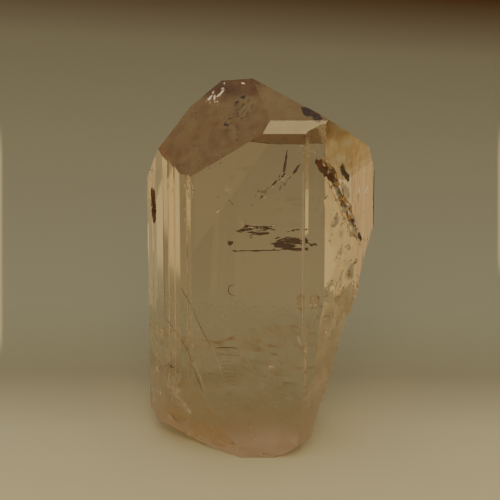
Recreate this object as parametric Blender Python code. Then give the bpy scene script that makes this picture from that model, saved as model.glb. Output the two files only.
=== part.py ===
"""Rough topaz crystal: a stout prism with a many-faced top and a broken base.

The crystal is one piece. Its long axis stands on +Z and its wide front face
looks to -Y. The origin is the middle of the footprint: a flat patch of
cleavage on Z = 0 that the crystal stands on.
"""
import math
import random

import bmesh
import bpy
from mathutils import Vector, noise

MM = 0.001

# Prism in millimetres, cut longer than the crystal stands
PRISM_HEIGHT = 24.0

# Growth lines: depth of a full step, width of its riser and of the strip left
# plain at a face's end, steps as shares of full, and stray from even spacing
LINE_STEP = 0.035
LINE_RISER = 0.02
LINE_END = 0.06
LINE_SHARES = (0.5, 1.0)
LINE_STRAY = 0.3
SEED = 11

# Upright faces, turning left from the front: name, facing angle in degrees
# from +X, distance from the long axis in mm, number of growth lines
SIDE_FACES = [
    ("front", -90.0, 4.40, 0),
    ("front bevel", -74.0, 4.91, 6),
    ("right front", -46.6, 5.42, 5),
    ("right side", -27.9, 5.72, 7),
    ("right edge", 0.0, 6.42, 0),
    ("right back", 27.9, 5.94, 7),
    ("back right", 46.6, 5.62, 6),
    ("back", 90.0, 4.20, 0),
    ("left back", 152.0, 5.45, 9),
    ("left edge", 200.0, 6.09, 6),
    ("left side", 206.9, 6.02, 4),
    ("left front", 216.8, 5.91, 6),
    ("left front bevel", 232.4, 5.82, 3),
]

# Sloping faces: name, facing angle, tilt from level in degrees, distance
# from the origin in mm. The last one is an old flat break that leans in
# towards the base at the back
SLOPING_FACES = [
    ("left slope", -127.2, 47.0, 16.16),
    ("front bench", -90.0, 56.6, 14.69),
    ("front roof", -90.0, 31.0, 19.74),
    ("left shoulder", 155.1, 60.7, 12.56),
    ("left crest", 147.5, 48.1, 15.51),
    ("back roof", 81.3, 39.7, 15.99),
    ("right roof", 37.3, 38.1, 16.62),
    ("right shoulder", 21.8, 72.8, 10.37),
    ("back break", 79.0, 97.0, 2.077),
]

# Broken faces: a point on each, its direction, the long way across it, its
# reach each way in mm, grain spacing, and height of the relief
PITTED_SIDE = {
    "point": (3.70, -4.00, 18.0),
    "normal": (0.749, -0.663, 0.0),
    "across": (0.31, 0.35, -0.88),
    "reach": (-7.5, 8.0, -9.0, 0.0),
    "grain": 0.42,
    "relief": 0.07,
    "swell": 0.06,
}
RIGHT_TAPER = {
    "point": (5.60, 0.0, 9.5),
    "normal": (0.957, -0.05, -0.287),
    "across": (0.287, 0.0, 0.957),
    "reach": (-11.0, 5.0, -6.5, 6.5),
    "grain": 0.55,
    "relief": 0.20,
    "swell": 0.16,
}
RIGHT_FRONT_TAPER = {
    "point": (3.50, -4.15, 9.5),
    "normal": (0.718, -0.689, -0.096),
    "across": (0.096, 0.0, 0.995),
    "reach": (-11.5, 1.5, -2.5, 7.0),
    "grain": 0.50,
    "relief": 0.13,
    "swell": 0.12,
}
LEFT_FRONT_FOOT = {
    "point": (-3.90, -4.40, 5.0),
    "normal": (-0.49, -0.82, -0.29),
    "across": (0.86, -0.51, 0.0),
    "reach": (-4.5, 5.0, -7.0, 2.5),
    "grain": 0.42,
    "relief": 0.16,
    "swell": 0.10,
}
BACK_FOOT = {
    "point": (0.0, 2.90, 6.0),
    "normal": (0.20, 0.955, -0.22),
    "across": (1.0, -0.209, 0.0),
    "reach": (-8.0, 8.0, -2.5, 8.0),
    "grain": 0.60,
    "relief": 0.22,
    "swell": 0.30,
}

# Ledge along the top of the pitted side: points down its middle, half its
# width, and how many rings and sides its bites are made with
LEDGE_PATH = [
    (3.20, -4.55, 18.9),
    (3.90, -3.75, 17.4),
    (4.20, -3.42, 16.4),
    (4.60, -2.98, 15.2),
    (5.10, -2.40, 13.8),
    (5.65, -1.80, 12.5),
    (6.00, -1.40, 11.6),
]
LEDGE_RADIUS = 0.42
LEDGE_RINGS = 22
LEDGE_SIDES = 8

# How far along its path the ledge's direction is measured, how wide it is at
# its ends, how soon it is full width, and how much its width varies
LEDGE_REACH = 0.05
LEDGE_END_SHARE = 0.4
LEDGE_SWELL_RATE = 4.0
LEDGE_VARIATION = 0.6

# Underside: the flat patch is an ellipse and the break rises all round it
PATCH_CENTRE = (-0.3, -0.6)
PATCH_RADII = (3.1, 4.0)
RISE_LEFT = 0.9
RISE_RIGHT = 4.2
UNDERSIDE_REACH = (7.6, 5.6)
UNDERSIDE_GRAIN = 0.55
UNDERSIDE_RELIEF = 0.16
UNDERSIDE_DEPTH = 2.5
PATCH_CLEARANCE = 0.35

CUTTER_DEPTH = 6.0
FINE_SHARE = 0.45
FINE_SIZE = 0.8
SWELL_SIZE = 3.0

# Body colour in linear light
PALE_CHAMPAGNE = (0.60, 0.47, 0.31, 1.0)
TOPAZ_IOR = 1.62
TOPAZ_ROUGHNESS = 0.05


def clear_objects():
    """Start from a scene with no objects in it."""
    for obj in list(bpy.data.objects):
        bpy.data.objects.remove(obj, do_unlink=True)


def new_object(name, bm):
    """Make one object from a finished mesh whose points are in millimetres."""
    bmesh.ops.scale(bm, vec=(MM, MM, MM), verts=bm.verts)
    bmesh.ops.recalc_face_normals(bm, faces=bm.faces)
    mesh = bpy.data.meshes.new(name)
    bm.to_mesh(mesh)
    bm.free()
    obj = bpy.data.objects.new(name, mesh)
    bpy.context.collection.objects.link(obj)
    return obj


def facing(angle):
    """Level direction at an angle in degrees from +X."""
    turn = math.radians(angle)
    return Vector((math.cos(turn), math.sin(turn), 0.0))


def corner(first, second):
    """Point in plan where two neighbouring side faces meet."""
    a = facing(first[1])
    b = facing(second[1])
    cross = a.x * b.y - a.y * b.x
    x = (first[2] * b.y - second[2] * a.y) / cross
    y = (second[2] * a.x - first[2] * b.x) / cross
    return Vector((x, y, 0.0))


def lined_side(start, end, face, rng):
    """Plan points along one side face, stepped in and out by its growth lines."""
    count = face[3]
    points = [start]
    if count == 0:
        return points
    run = end - start
    along = run.normalized()
    inward = facing(face[1]) * -LINE_STEP
    level = 0.0
    for line in range(1, count + 1):
        place = (line + rng.uniform(-LINE_STRAY, LINE_STRAY)) / (count + 1)
        here = start + run * place
        following = rng.choice(LINE_SHARES) if level == 0.0 else 0.0
        points.append(here + inward * level)
        points.append(here + along * LINE_RISER + inward * following)
        level = following
    if level > 0.0:
        last = end - along * LINE_END
        points.append(last + inward * level)
        points.append(last + along * LINE_RISER)
    return points


def cross_section():
    """Plan outline of the prism, anticlockwise, with its growth lines."""
    rng = random.Random(SEED)
    outline = []
    total = len(SIDE_FACES)
    for index, face in enumerate(SIDE_FACES):
        before = SIDE_FACES[index - 1]
        after = SIDE_FACES[(index + 1) % total]
        outline += lined_side(corner(before, face), corner(face, after), face, rng)
    return outline


def prism():
    """Upright prism drawn up from its cross section."""
    bm = bmesh.new()
    ring = [bm.verts.new(point) for point in cross_section()]
    floor = bm.faces.new(ring)
    raised = bmesh.ops.extrude_face_region(bm, geom=[floor])["geom"]
    top = [item for item in raised if isinstance(item, bmesh.types.BMVert)]
    bmesh.ops.translate(bm, vec=(0.0, 0.0, PRISM_HEIGHT), verts=top)
    return bm


def cut_sloping_face(bm, angle, tilt, distance):
    """Slice away what lies outside one sloping face and close the cut."""
    lean = math.radians(tilt)
    normal = facing(angle) * math.sin(lean) + Vector((0.0, 0.0, math.cos(lean)))
    everything = bm.verts[:] + bm.edges[:] + bm.faces[:]
    bmesh.ops.bisect_plane(
        bm,
        geom=everything,
        dist=1e-5,
        plane_co=normal * distance,
        plane_no=normal,
        clear_outer=True,
    )
    rim = [edge for edge in bm.edges if edge.is_boundary]
    bmesh.ops.holes_fill(bm, edges=rim, sides=0)


def faceted_crystal():
    """The crystal with all its flat faces, before its rough breaks."""
    bm = prism()
    for _, angle, tilt, distance in SLOPING_FACES:
        cut_sloping_face(bm, angle, tilt, distance)
    return new_object("topaz_crystal", bm)


def relief(place, size):
    """Uneven height between -1 and 1 that changes over a given distance."""
    return noise.noise(place / size)


def steps(low, high, grain):
    """Evenly spaced positions from low to high, about a grain apart."""
    count = max(2, round((high - low) / grain))
    return [low + (high - low) * index / count for index in range(count + 1)]


def rough_block(name, columns, rows, surface, outer):
    """Closed block with an uneven inner surface and a plain outer one."""
    bm = bmesh.new()
    near = [[bm.verts.new(surface(u, v)) for v in rows] for u in columns]
    far = [[bm.verts.new(outer(u, v)) for v in rows] for u in columns]
    last_u = len(columns) - 1
    last_v = len(rows) - 1
    for i in range(last_u):
        for j in range(last_v):
            bm.faces.new((near[i][j], near[i + 1][j], near[i + 1][j + 1], near[i][j + 1]))
            bm.faces.new((far[i][j], far[i][j + 1], far[i + 1][j + 1], far[i + 1][j]))
    for i in range(last_u):
        for j in (0, last_v):
            bm.faces.new((near[i][j], far[i][j], far[i + 1][j], near[i + 1][j]))
    for j in range(last_v):
        for i in (0, last_u):
            bm.faces.new((near[i][j], near[i][j + 1], far[i][j + 1], far[i][j]))
    return new_object(name, bm)


def break_block(name, spec):
    """Block that takes off everything outside one broken face."""
    normal = Vector(spec["normal"]).normalized()
    across = Vector(spec["across"])
    across = (across - normal * across.dot(normal)).normalized()
    up = normal.cross(across)
    point = Vector(spec["point"])
    u_low, u_high, v_low, v_high = spec["reach"]

    def surface(u, v):
        base = point + across * u + up * v
        fine = relief(base, FINE_SIZE) * FINE_SHARE + relief(base, FINE_SIZE * 2.0)
        height = spec["relief"] * fine + spec["swell"] * relief(base, SWELL_SIZE)
        return base + normal * height

    def outer(u, v):
        return point + across * u + up * v + normal * CUTTER_DEPTH

    columns = steps(u_low, u_high, spec["grain"])
    rows = steps(v_low, v_high, spec["grain"])
    return rough_block(name, columns, rows, surface, outer)


def along(path, share):
    """Point at a share of the way down a path of straight runs."""
    place = share * (len(path) - 1)
    index = min(int(place), len(path) - 2)
    return Vector(path[index]).lerp(Vector(path[index + 1]), place - index)


def ledge_block():
    """Lumpy rod that bites the ledge out along the top of the pitted side."""
    out = Vector(PITTED_SIDE["normal"]).normalized()
    bm = bmesh.new()
    loops = []
    for ring in range(LEDGE_RINGS + 1):
        share = ring / LEDGE_RINGS
        here = along(LEDGE_PATH, share)
        after = along(LEDGE_PATH, min(1.0, share + LEDGE_REACH))
        ahead = after - along(LEDGE_PATH, max(0.0, share - LEDGE_REACH))
        sideways = ahead.cross(out).normalized()
        taper = min(1.0, LEDGE_END_SHARE + LEDGE_SWELL_RATE * min(share, 1.0 - share))
        width = LEDGE_RADIUS * taper * (1.0 + LEDGE_VARIATION * relief(here, FINE_SIZE))
        turns = [2.0 * math.pi * side / LEDGE_SIDES for side in range(LEDGE_SIDES)]
        loops.append([
            bm.verts.new(here + (sideways * math.cos(turn) + out * math.sin(turn)) * width)
            for turn in turns
        ])
    for near, far in zip(loops, loops[1:]):
        for side in range(LEDGE_SIDES):
            after = (side + 1) % LEDGE_SIDES
            bm.faces.new((near[side], near[after], far[after], far[side]))
    bm.faces.new(loops[0])
    bm.faces.new(loops[-1])
    return new_object("ledge_bites", bm)


def underside_block():
    """Block that breaks the base away all round its flat patch."""
    half_x, half_y = UNDERSIDE_REACH

    def surface(x, y):
        ring = math.hypot(
            (x - PATCH_CENTRE[0]) / PATCH_RADII[0],
            (y - PATCH_CENTRE[1]) / PATCH_RADII[1],
        )
        share = 0.5 + 0.5 * x / half_x
        rise = (ring - 1.0) * (RISE_LEFT + (RISE_RIGHT - RISE_LEFT) * share)
        place = Vector((x, y, 0.0))
        rise += UNDERSIDE_RELIEF * relief(place, FINE_SIZE * 2.0)
        return Vector((x, y, max(-PATCH_CLEARANCE, rise)))

    def outer(x, y):
        return Vector((x, y, -UNDERSIDE_DEPTH))

    columns = steps(-half_x, half_x, UNDERSIDE_GRAIN)
    rows = steps(-half_y, half_y, UNDERSIDE_GRAIN)
    return rough_block("underside_break", columns, rows, surface, outer)


def break_off(crystal, block):
    """Take one rough block out of the crystal."""
    cut = crystal.modifiers.new(block.name, "BOOLEAN")
    cut.operation = "DIFFERENCE"
    cut.solver = "EXACT"
    cut.object = block
    block.hide_render = True
    block.display_type = "WIRE"


def topaz_material():
    """Clear pale champagne topaz."""
    material = bpy.data.materials.new("clear champagne topaz")
    material.use_nodes = True
    shader = material.node_tree.nodes["Principled BSDF"]
    shader.inputs["Base Color"].default_value = PALE_CHAMPAGNE
    shader.inputs["Roughness"].default_value = TOPAZ_ROUGHNESS
    shader.inputs["IOR"].default_value = TOPAZ_IOR
    shader.inputs["Transmission Weight"].default_value = 1.0
    return material


def build_crystal():
    """The crystal with its broken right side, feet and underside."""
    crystal = faceted_crystal()
    break_off(crystal, break_block("pitted_side", PITTED_SIDE))
    break_off(crystal, ledge_block())
    break_off(crystal, break_block("right_taper", RIGHT_TAPER))
    break_off(crystal, break_block("right_front_taper", RIGHT_FRONT_TAPER))
    break_off(crystal, break_block("left_front_foot", LEFT_FRONT_FOOT))
    break_off(crystal, break_block("back_foot", BACK_FOOT))
    break_off(crystal, underside_block())
    crystal.data.materials.append(topaz_material())
    return crystal


def main():
    """Clear the scene and make the crystal."""
    clear_objects()
    build_crystal()


main()
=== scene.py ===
"""Rough topaz crystal on a pale table, dressed for a studio picture.

The file is laid out as an add-on: settings, operators and buttons for the crystal, for the marks inside it,
and for the table and lights. Run as a script it makes them all in order. Sizes in the geometry functions
are millimetres, and each finished mesh is brought to metres.
"""

import math
import random

import bmesh
import bpy
from mathutils import Matrix, Vector, noise


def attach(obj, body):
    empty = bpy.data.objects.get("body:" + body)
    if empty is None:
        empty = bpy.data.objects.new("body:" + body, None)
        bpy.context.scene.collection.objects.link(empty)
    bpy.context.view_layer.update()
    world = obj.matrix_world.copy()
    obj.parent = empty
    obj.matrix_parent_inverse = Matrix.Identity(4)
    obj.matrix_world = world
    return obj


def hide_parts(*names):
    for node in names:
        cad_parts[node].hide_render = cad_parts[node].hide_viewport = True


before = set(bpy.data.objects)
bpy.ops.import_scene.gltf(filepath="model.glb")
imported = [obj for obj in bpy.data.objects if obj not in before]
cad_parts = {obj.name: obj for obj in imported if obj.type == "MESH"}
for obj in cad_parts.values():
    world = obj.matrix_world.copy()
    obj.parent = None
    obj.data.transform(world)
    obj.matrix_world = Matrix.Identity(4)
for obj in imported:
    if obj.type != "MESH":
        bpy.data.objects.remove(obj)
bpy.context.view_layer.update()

bl_info = {
    "name": "Rough topaz crystal",
    "version": (1, 0, 0),
    "blender": (4, 5, 0),
    "location": "3D View > Sidebar > Topaz",
    "description": "Makes a rough champagne topaz crystal, the marks inside it, and a table with soft light",
    "category": "Object",
}

MM = 0.001
NODE = "topaz_crystal"

# Upright faces, anticlockwise from the front as seen from above: name, facing angle in degrees from +X,
# distance from the long axis in millimetres, how deep its growth lines are against the usual, whether they
# are steps that all lean one way, and finish
SIDE_FACES = [
    ("front", -90.0, 4.40, 0.0, False, "grown"),
    ("front bevel", -74.0, 4.91, 2.5, False, "grown"),
    ("right front", -46.6, 5.42, 0.5, False, "grown"),
    ("right side", -27.9, 5.72, 0.9, False, "grown"),
    ("right edge", 0.0, 6.42, 0.0, False, "grown"),
    ("right back", 27.9, 5.94, 1.0, False, "grown"),
    ("back right", 46.6, 5.62, 1.0, False, "grown"),
    ("back", 90.0, 4.20, 0.0, False, "grown"),
    ("left back", 152.0, 5.45, 0.3, False, "grown"),
    ("left edge", 200.0, 6.09, 0.4, False, "grown"),
    ("left side", 206.9, 6.02, 0.2, False, "veiled"),
    ("left front", 216.8, 5.91, 0.8, True, "veiled"),
    ("left front bevel", 232.4, 5.82, 0.8, True, "veiled"),
]

# Sloping faces: name, facing angle, tilt from level in degrees, distance from the origin in millimetres, and
# finish. The last one is an old flat break that leans in towards the base at the back
SLOPING_FACES = [
    ("left slope", -127.2, 47.0, 16.16, "etched"),
    ("front bench", -90.0, 56.6, 14.69, "bench"),
    ("front roof", -90.0, 31.0, 19.74, "roof"),
    ("left shoulder", 155.1, 60.7, 12.56, "etched"),
    ("left crest", 147.5, 48.1, 15.51, "etched"),
    ("back roof", 81.3, 39.7, 15.99, "crest"),
    ("right roof", 37.3, 38.1, 16.62, "crest"),
    ("right shoulder", 21.8, 72.8, 10.37, "crest"),
    ("back break", 79.0, 97.0, 2.077, "grown"),
]
PRISM_HEIGHT = 24.0

# Growth lines: the width of a step's riser in millimetres, how much wider apart steps are than plain lines,
# the least and most gap against the usual, and the gap kept free at a face's end
LINE_RISER = 0.02
STEP_SPREAD = 1.8
LINE_GAPS = (0.35, 1.6)
LINE_END = 0.4

# The board lies a hair below the crystal's flat patch, as no two surfaces touch all over
TABLE_GAP = 0.03

# How near a corner may lie to a cutting plane, in millimetres, and still count as on it
ON_PLANE = 1e-5

# Broken faces, in millimetres: a point on each, its direction, the long way across it, how far its block
# reaches each way from the point, the heights of its fine relief and of its slow swell, the depth of its pits,
# and its finish
BROKEN_FACES = {
    "pitted side": {
        "point": (3.70, -4.00, 18.0),
        "normal": (0.749, -0.663, 0.0),
        "across": (0.31, 0.35, -0.88),
        "reach": (-7.5, 8.0, -9.0, 0.0),
        "relief": 0.07,
        "swell": 0.06,
        "pits": 0.10,
        "finish": "pitted",
    },
    "right taper": {
        "point": (5.60, 0.0, 9.5),
        "normal": (0.957, -0.05, -0.287),
        "across": (0.287, 0.0, 0.957),
        "reach": (-11.0, 5.0, -6.5, 6.5),
        "relief": 0.20,
        "swell": 0.16,
        "pits": 0.05,
        "finish": "ground",
    },
    "right front taper": {
        "point": (3.50, -4.15, 9.5),
        "normal": (0.718, -0.689, -0.096),
        "across": (0.096, 0.0, 0.995),
        "reach": (-11.5, 1.5, -2.5, 7.0),
        "relief": 0.13,
        "swell": 0.12,
        "pits": 0.06,
        "finish": "ground",
    },
    "left front foot": {
        "point": (-3.90, -4.40, 5.0),
        "normal": (-0.49, -0.82, -0.29),
        "across": (0.86, -0.51, 0.0),
        "reach": (-4.5, 5.0, -7.0, 2.5),
        "relief": 0.16,
        "swell": 0.10,
        "pits": 0.05,
        "finish": "bruised",
    },
    "back foot": {
        "point": (0.0, 2.90, 6.0),
        "normal": (0.20, 0.955, -0.22),
        "across": (1.0, -0.209, 0.0),
        "reach": (-8.0, 8.0, -2.5, 8.0),
        "relief": 0.22,
        "swell": 0.30,
        "pits": 0.05,
        "finish": "ground",
    },
}

# Finishes of the faces: how rough each is from 0, like glass, to 1, like ground glass, and how much brown
# stain it has
FACE_FINISHES = {
    "grown": (0.0, 0.0),
    "etched": (0.6, 0.86),
    "veiled": (0.22, 0.0),
    "bench": (0.25, 0.35),
    "roof": (0.6, 0.68),
    "crest": (0.8, 0.4),
    "shoulder edge": (0.7, 0.2),
    "shoulder": (0.9, 0.36),
    "pitted": (0.45, 0.15),
    "shell": (0.05, 0.1),
    "ground": (0.95, 0.08),
    "bruised": (0.8, 0.0),
    "resting": (1.0, 0.35),
}
FINISHES = list(FACE_FINISHES)

# Frost that thickens towards the foot: heights at the front where it is full and where it ends, how far it
# wavers, how full it is, and how much higher it stands for each millimetre towards the back
FROST_FOOT = (3.0, 5.0)
FROST_WAVE = 2.0
FOOT_FROST = 0.8
FROST_RISE = 0.6

# Topaz: how strongly it bends light, the roughness of a clear face, the least and most roughness of a broken
# one, and the noise values where the least and the most begin
TOPAZ_IOR = 1.62
CLEAR_ROUGHNESS = 0.02
BROKEN_ROUGHNESS = (0.30, 0.55)
FROST_NOISE = (0.35, 0.65)

# Sizes in millimetres of the patches in the frost, the waves of its upper edge, and the stain's mottling
FROST_PATCH = 0.9
FROST_EDGE = 2.5
STAIN_PATCH = 0.6

# Mottling of the stain: its contrast on smoother and on rougher faces, the roughness where each begins, and
# the noise value that leaves the stain as it is
STAIN_CONTRAST = (0.9, 6.0)
CONTRAST_ROUGHNESS = (0.6, 0.8)
NOISE_MIDDLE = 0.5

# Ledge along the top of the pitted side, in millimetres: points down its middle, half its width, its rings
# and sides, and how uneven it is. Then as shares: how far along either way its direction is read, its width at
# the ends, how fast it widens from them, and how much its width varies
LEDGE_PATH = [
    (3.20, -4.55, 18.9),
    (3.90, -3.75, 17.4),
    (4.20, -3.42, 16.4),
    (4.60, -2.98, 15.2),
    (5.10, -2.40, 13.8),
    (5.65, -1.80, 12.5),
    (6.00, -1.40, 11.6),
]
LEDGE_RADIUS = 0.30
LEDGE_RINGS = 90
LEDGE_SIDES = 24
LEDGE_RELIEF = 0.06
LEDGE_READ = 0.05
LEDGE_END = 0.4
LEDGE_FLARE = 4.0
LEDGE_LUMPS = 0.6

# Heights where the stain on the front right faces begins and where it is full, and the finish above each.
# Then the most that such a face leans, the least that it faces right, and the most that it faces back
SHOULDER_LEVELS = [(16.7, "shoulder edge"), (17.2, "shoulder")]
SHOULDER_LEAN = 0.01
SHOULDER_RIGHT = 0.5
SHOULDER_BACK = 0.2

# Relief of the broken faces: sizes in millimetres of its slow swell, its fine, coarse and small lumps and its
# grit, and the shares of the fine lumps and of the grit beside the coarse ones
SWELL_SIZE = 3.0
FINE_SIZE = 0.8
COARSE_SIZE = FINE_SIZE * 2.0
SMALL_SIZE = FINE_SIZE * 0.5
GRIT_SIZE = FINE_SIZE * 0.4
FINE_SHARE = 0.45
GRIT_SHARE = 0.22

# Pits: their size in millimetres, the noise value where one begins, and how much more noise makes it full
PIT_SIZE = 0.55
PIT_START = 0.32
PIT_RISE = 0.25

# How far a cutting block reaches outwards from its broken face, in millimetres
CUTTER_DEPTH = 6.0

# Underside: a flat patch with the break rising all round it. The patch's middle and radii in millimetres, how
# far the break rises at the left and right for each radius outwards, half the block's sizes, the break's
# unevenness, the share of small lumps in it, how deep the block is, and how far it stays below the patch
PATCH_CENTRE = (-0.3, -0.6)
PATCH_RADII = (3.1, 4.0)
RISE_LEFT = 0.9
RISE_RIGHT = 4.2
UNDERSIDE_REACH = (7.6, 5.6)
UNDERSIDE_RELIEF = 0.16
UNDERSIDE_SMALL = 0.3
UNDERSIDE_DEPTH = 2.5
PATCH_CLEARANCE = 0.35

# Light entering level faces at the picture's angle runs down this far for each millimetre that it goes in
DROP = 0.27

# How the pieces of a row vary: their depth and their length as shares of the row's, and their turn in radians
ROW_DEPTHS = (0.7, 1.3)
ROW_LENGTHS = (0.35, 1.0)
ROW_TURN = 0.25

# Marks inside the stone as a face shows them. Each row: face, start and end as millimetres right of the long
# axis and above the foot, depth behind the face, how many pieces, how far they stray from the line, and the
# longest piece
DARK_ROWS = [
    ("front", (1.45, 18.95), (1.24, 17.40), 1.2, 9, 0.02, 0.55),
    ("front", (2.11, 18.17), (1.78, 17.64), 1.0, 4, 0.02, 0.35),
    ("front", (1.13, 17.52), (0.64, 16.92), 1.6, 5, 0.05, 0.32),
    ("front", (0.85, 17.28), (0.31, 16.56), 1.8, 6, 0.05, 0.32),
    ("front", (0.53, 17.04), (0.04, 16.44), 2.0, 5, 0.05, 0.28),
    ("front", (1.35, 17.28), (0.91, 16.56), 1.5, 5, 0.05, 0.30),
    ("front", (1.62, 17.52), (1.29, 16.92), 1.3, 4, 0.05, 0.28),
    ("front", (0.42, 16.56), (-0.13, 16.08), 2.0, 4, 0.05, 0.24),
    ("front", (0.09, 16.80), (-0.29, 16.32), 2.1, 3, 0.05, 0.22),
    ("front", (-1.72, 16.08), (-1.50, 15.78), 1.0, 3, 0.02, 0.20),
    ("front", (-2.43, 16.38), (-2.21, 16.14), 1.0, 2, 0.02, 0.16),
    ("front", (-0.48, 15.80), (-0.43, 15.76), 1.0, 2, 0.02, 0.14),
    ("front", (0.95, 16.16), (1.00, 16.12), 1.0, 1, 0.00, 0.14),
    ("front", (-1.34, 14.15), (-0.57, 14.33), 1.5, 9, 0.05, 0.36),
    ("front", (-0.90, 14.45), (0.09, 14.51), 1.8, 10, 0.05, 0.38),
    ("front", (-0.24, 14.21), (0.75, 14.39), 2.0, 10, 0.05, 0.38),
    ("front", (-0.57, 13.96), (0.31, 14.09), 2.2, 8, 0.05, 0.36),
    ("front", (-1.76, 13.52), (-1.58, 13.44), 1.2, 6, 0.06, 0.26),
    ("front", (0.87, 13.66), (2.08, 13.78), 2.0, 16, 0.06, 0.42),
    ("front", (1.09, 13.42), (2.30, 13.48), 2.2, 18, 0.06, 0.44),
    ("front", (1.31, 13.17), (2.20, 13.11), 2.4, 14, 0.05, 0.42),
    ("front", (2.08, 13.48), (2.86, 13.30), 1.8, 6, 0.05, 0.32),
    ("front", (-1.51, 12.99), (1.75, 13.05), 2.4, 18, 0.03, 0.34),
    ("front", (1.31, 14.15), (2.13, 14.27), 2.4, 7, 0.05, 0.30),
    ("front", (-2.35, 9.98), (0.20, 9.50), 2.0, 14, 0.09, 0.12),
    ("front", (0.20, 9.50), (2.20, 9.36), 2.0, 8, 0.09, 0.12),
    ("front bevel", (3.58, 13.51), (4.03, 13.33), 0.5, 3, 0.03, 0.30),
    ("right front", (3.70, 19.20), (4.90, 17.60), 0.30, 26, 0.35, 0.16),
    ("right side", (5.20, 18.20), (5.90, 17.20), 0.30, 16, 0.30, 0.14),
    ("front bench", (0.40, 19.60), (2.80, 19.50), 0.20, 14, 0.10, 0.16),
    ("left edge", (-5.98, 15.40), (-5.95, 13.40), 0.00, 26, 0.05, 0.60),
    ("left front", (-4.63, 8.10), (-4.60, 8.05), 0.20, 1, 0.00, 0.14),
    ("left front", (-5.25, 5.15), (-4.65, 5.05), 0.12, 16, 0.04, 0.26),
    ("left front foot", (-5.10, 1.60), (-4.60, 1.40), 0.40, 8, 0.06, 0.30),
    ("left front bevel", (-4.12, 14.15), (-4.09, 14.08), 0.20, 1, 0.00, 0.16),
    ("left slope", (-2.00, 19.60), (-0.80, 21.25), 0.12, 44, 0.12, 0.24),
    ("left slope", (-1.60, 19.50), (-0.40, 21.10), 0.12, 36, 0.12, 0.22),
    ("left slope", (-1.02, 21.22), (-0.85, 21.36), 0.12, 5, 0.04, 0.24),
    ("left slope", (-1.42, 20.88), (-1.25, 21.04), 0.12, 5, 0.04, 0.24),
    ("left slope", (-1.99, 19.90), (-1.88, 20.04), 0.12, 4, 0.03, 0.22),
    ("left slope", (-3.16, 18.06), (-3.10, 18.12), 0.10, 2, 0.02, 0.14),
    ("left slope", (-2.83, 18.02), (-2.78, 18.06), 0.10, 2, 0.02, 0.12),
    ("left slope", (-2.28, 18.37), (-2.22, 18.42), 0.10, 2, 0.02, 0.12),
]
# Bright rows are white flakes in cracks: their white is a painted glint, the light that such cracks throw back
BRIGHT_ROWS = [
    ("front", (-1.99, 16.95), (-1.66, 16.50), 0.8, 9, 0.10, 0.16),
    ("front", (-2.33, 15.50), (-2.30, 15.20), 0.8, 5, 0.07, 0.14),
    ("front", (-1.10, 14.55), (0.60, 14.40), 1.2, 20, 0.12, 0.14),
    ("front", (1.40, 17.40), (0.00, 16.30), 1.3, 20, 0.12, 0.17),
    ("front", (2.20, 19.20), (2.60, 18.80), 0.6, 9, 0.10, 0.15),
    ("front", (-3.00, 17.60), (2.00, 9.00), 2.0, 70, 1.60, 0.05),
    ("left front bevel", (-4.05, 17.20), (-3.90, 16.20), 0.25, 14, 0.10, 0.20),
    ("left front", (-4.20, 14.90), (-4.20, 14.30), 0.20, 4, 0.04, 0.14),
    ("left slope", (-2.94, 20.60), (-2.61, 21.11), 0.02, 10, 0.05, 0.26),
    ("left slope", (-2.61, 21.11), (-2.40, 20.70), 0.02, 7, 0.05, 0.22),
    ("left slope", (-2.40, 20.70), (-1.98, 21.55), 0.02, 11, 0.05, 0.26),
    ("left slope", (-1.00, 21.80), (-0.85, 21.85), 0.08, 3, 0.03, 0.16),
    ("left front bevel", (-3.90, 16.80), (-3.90, 9.80), 0.06, 44, 0.02, 0.12),
    ("left side", (-5.85, 4.20), (-5.65, 2.20), 0.14, 14, 0.06, 0.62),
    ("left front", (-5.35, 4.80), (-5.15, 3.60), 0.16, 16, 0.08, 0.62),
    ("left front foot", (-5.00, 3.90), (-4.30, 2.20), 0.32, 24, 0.18, 0.62),
    ("pitted side", (3.50, 8.40), (4.10, 7.20), 0.14, 10, 0.16, 0.16),
    ("right front", (3.90, 18.60), (4.80, 17.60), 0.10, 12, 0.30, 0.16),
]

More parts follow.
